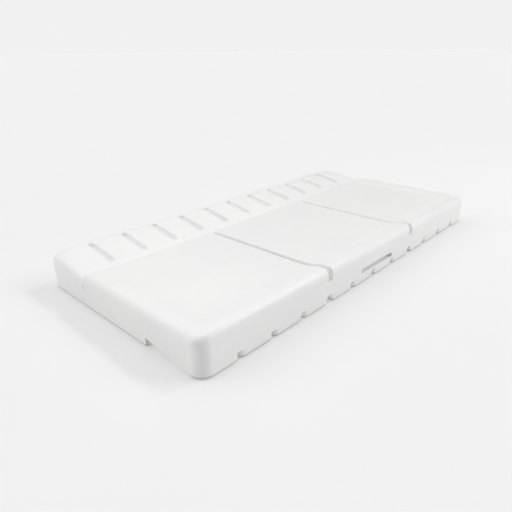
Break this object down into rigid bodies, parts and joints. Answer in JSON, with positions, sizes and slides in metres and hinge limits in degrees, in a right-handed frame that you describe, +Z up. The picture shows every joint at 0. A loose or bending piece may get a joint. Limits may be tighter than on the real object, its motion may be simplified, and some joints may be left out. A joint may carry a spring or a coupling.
{
  "type": "incline wedge mat",
  "caption": "Low folding padded mat: three dished panels with a raised front lip, a slotted incline strip along the back and bending channels underneath.",
  "frame": {"origin": "middle of the footprint, on the ground", "axes": "+X along the length, +Y from the plain front face to the inclined slotted strip, +Z up"},
  "size_m": [1.2, 0.59, 0.0931],
  "materials": {
    "panel_skin": "satin",
    "strip_skin": "satin",
    "web_skin": "satin",
    "grip_liner": "satin",
    "core_foam": "matte",
    "base_foam": "matte"
  },
  "bodies": {
    "middle_section": {"middle_panel_cover": "panel_skin", "middle_strip_cover": "strip_skin", "middle_panel_core": "core_foam", "middle_strip_core": "core_foam", "middle_base_block": "base_foam", "grip_pocket": "grip_liner"},
    "left_section": {"left_panel_cover": "panel_skin", "left_strip_cover": "strip_skin", "left_panel_core": "core_foam", "left_strip_core": "core_foam", "left_base_block": "base_foam", "left_fold_web": "web_skin", "left_strip_web": "web_skin"},
    "right_section": {"right_panel_cover": "panel_skin", "right_strip_cover": "strip_skin", "right_panel_core": "core_foam", "right_strip_core": "core_foam", "right_base_block": "base_foam", "right_fold_web": "web_skin", "right_strip_web": "web_skin"}
  },
  "joints": [
    {"name": "left_fold", "type": "hinge", "parent": "middle_section", "child": "left_section", "pos_m": [-0.2, 0, 0.0415], "axis": [0, 1, 0], "range_deg": [-36, 12], "stiffness_Nm_per_rad": 12, "deforming": ["left_fold_web", "left_strip_web"]},
    {"name": "right_fold", "type": "hinge", "parent": "middle_section", "child": "right_section", "pos_m": [0.2, 0, 0.0415], "axis": [0, -1, 0], "range_deg": [-36, 12], "stiffness_Nm_per_rad": 12, "deforming": ["right_fold_web", "right_strip_web"]}
  ]
}
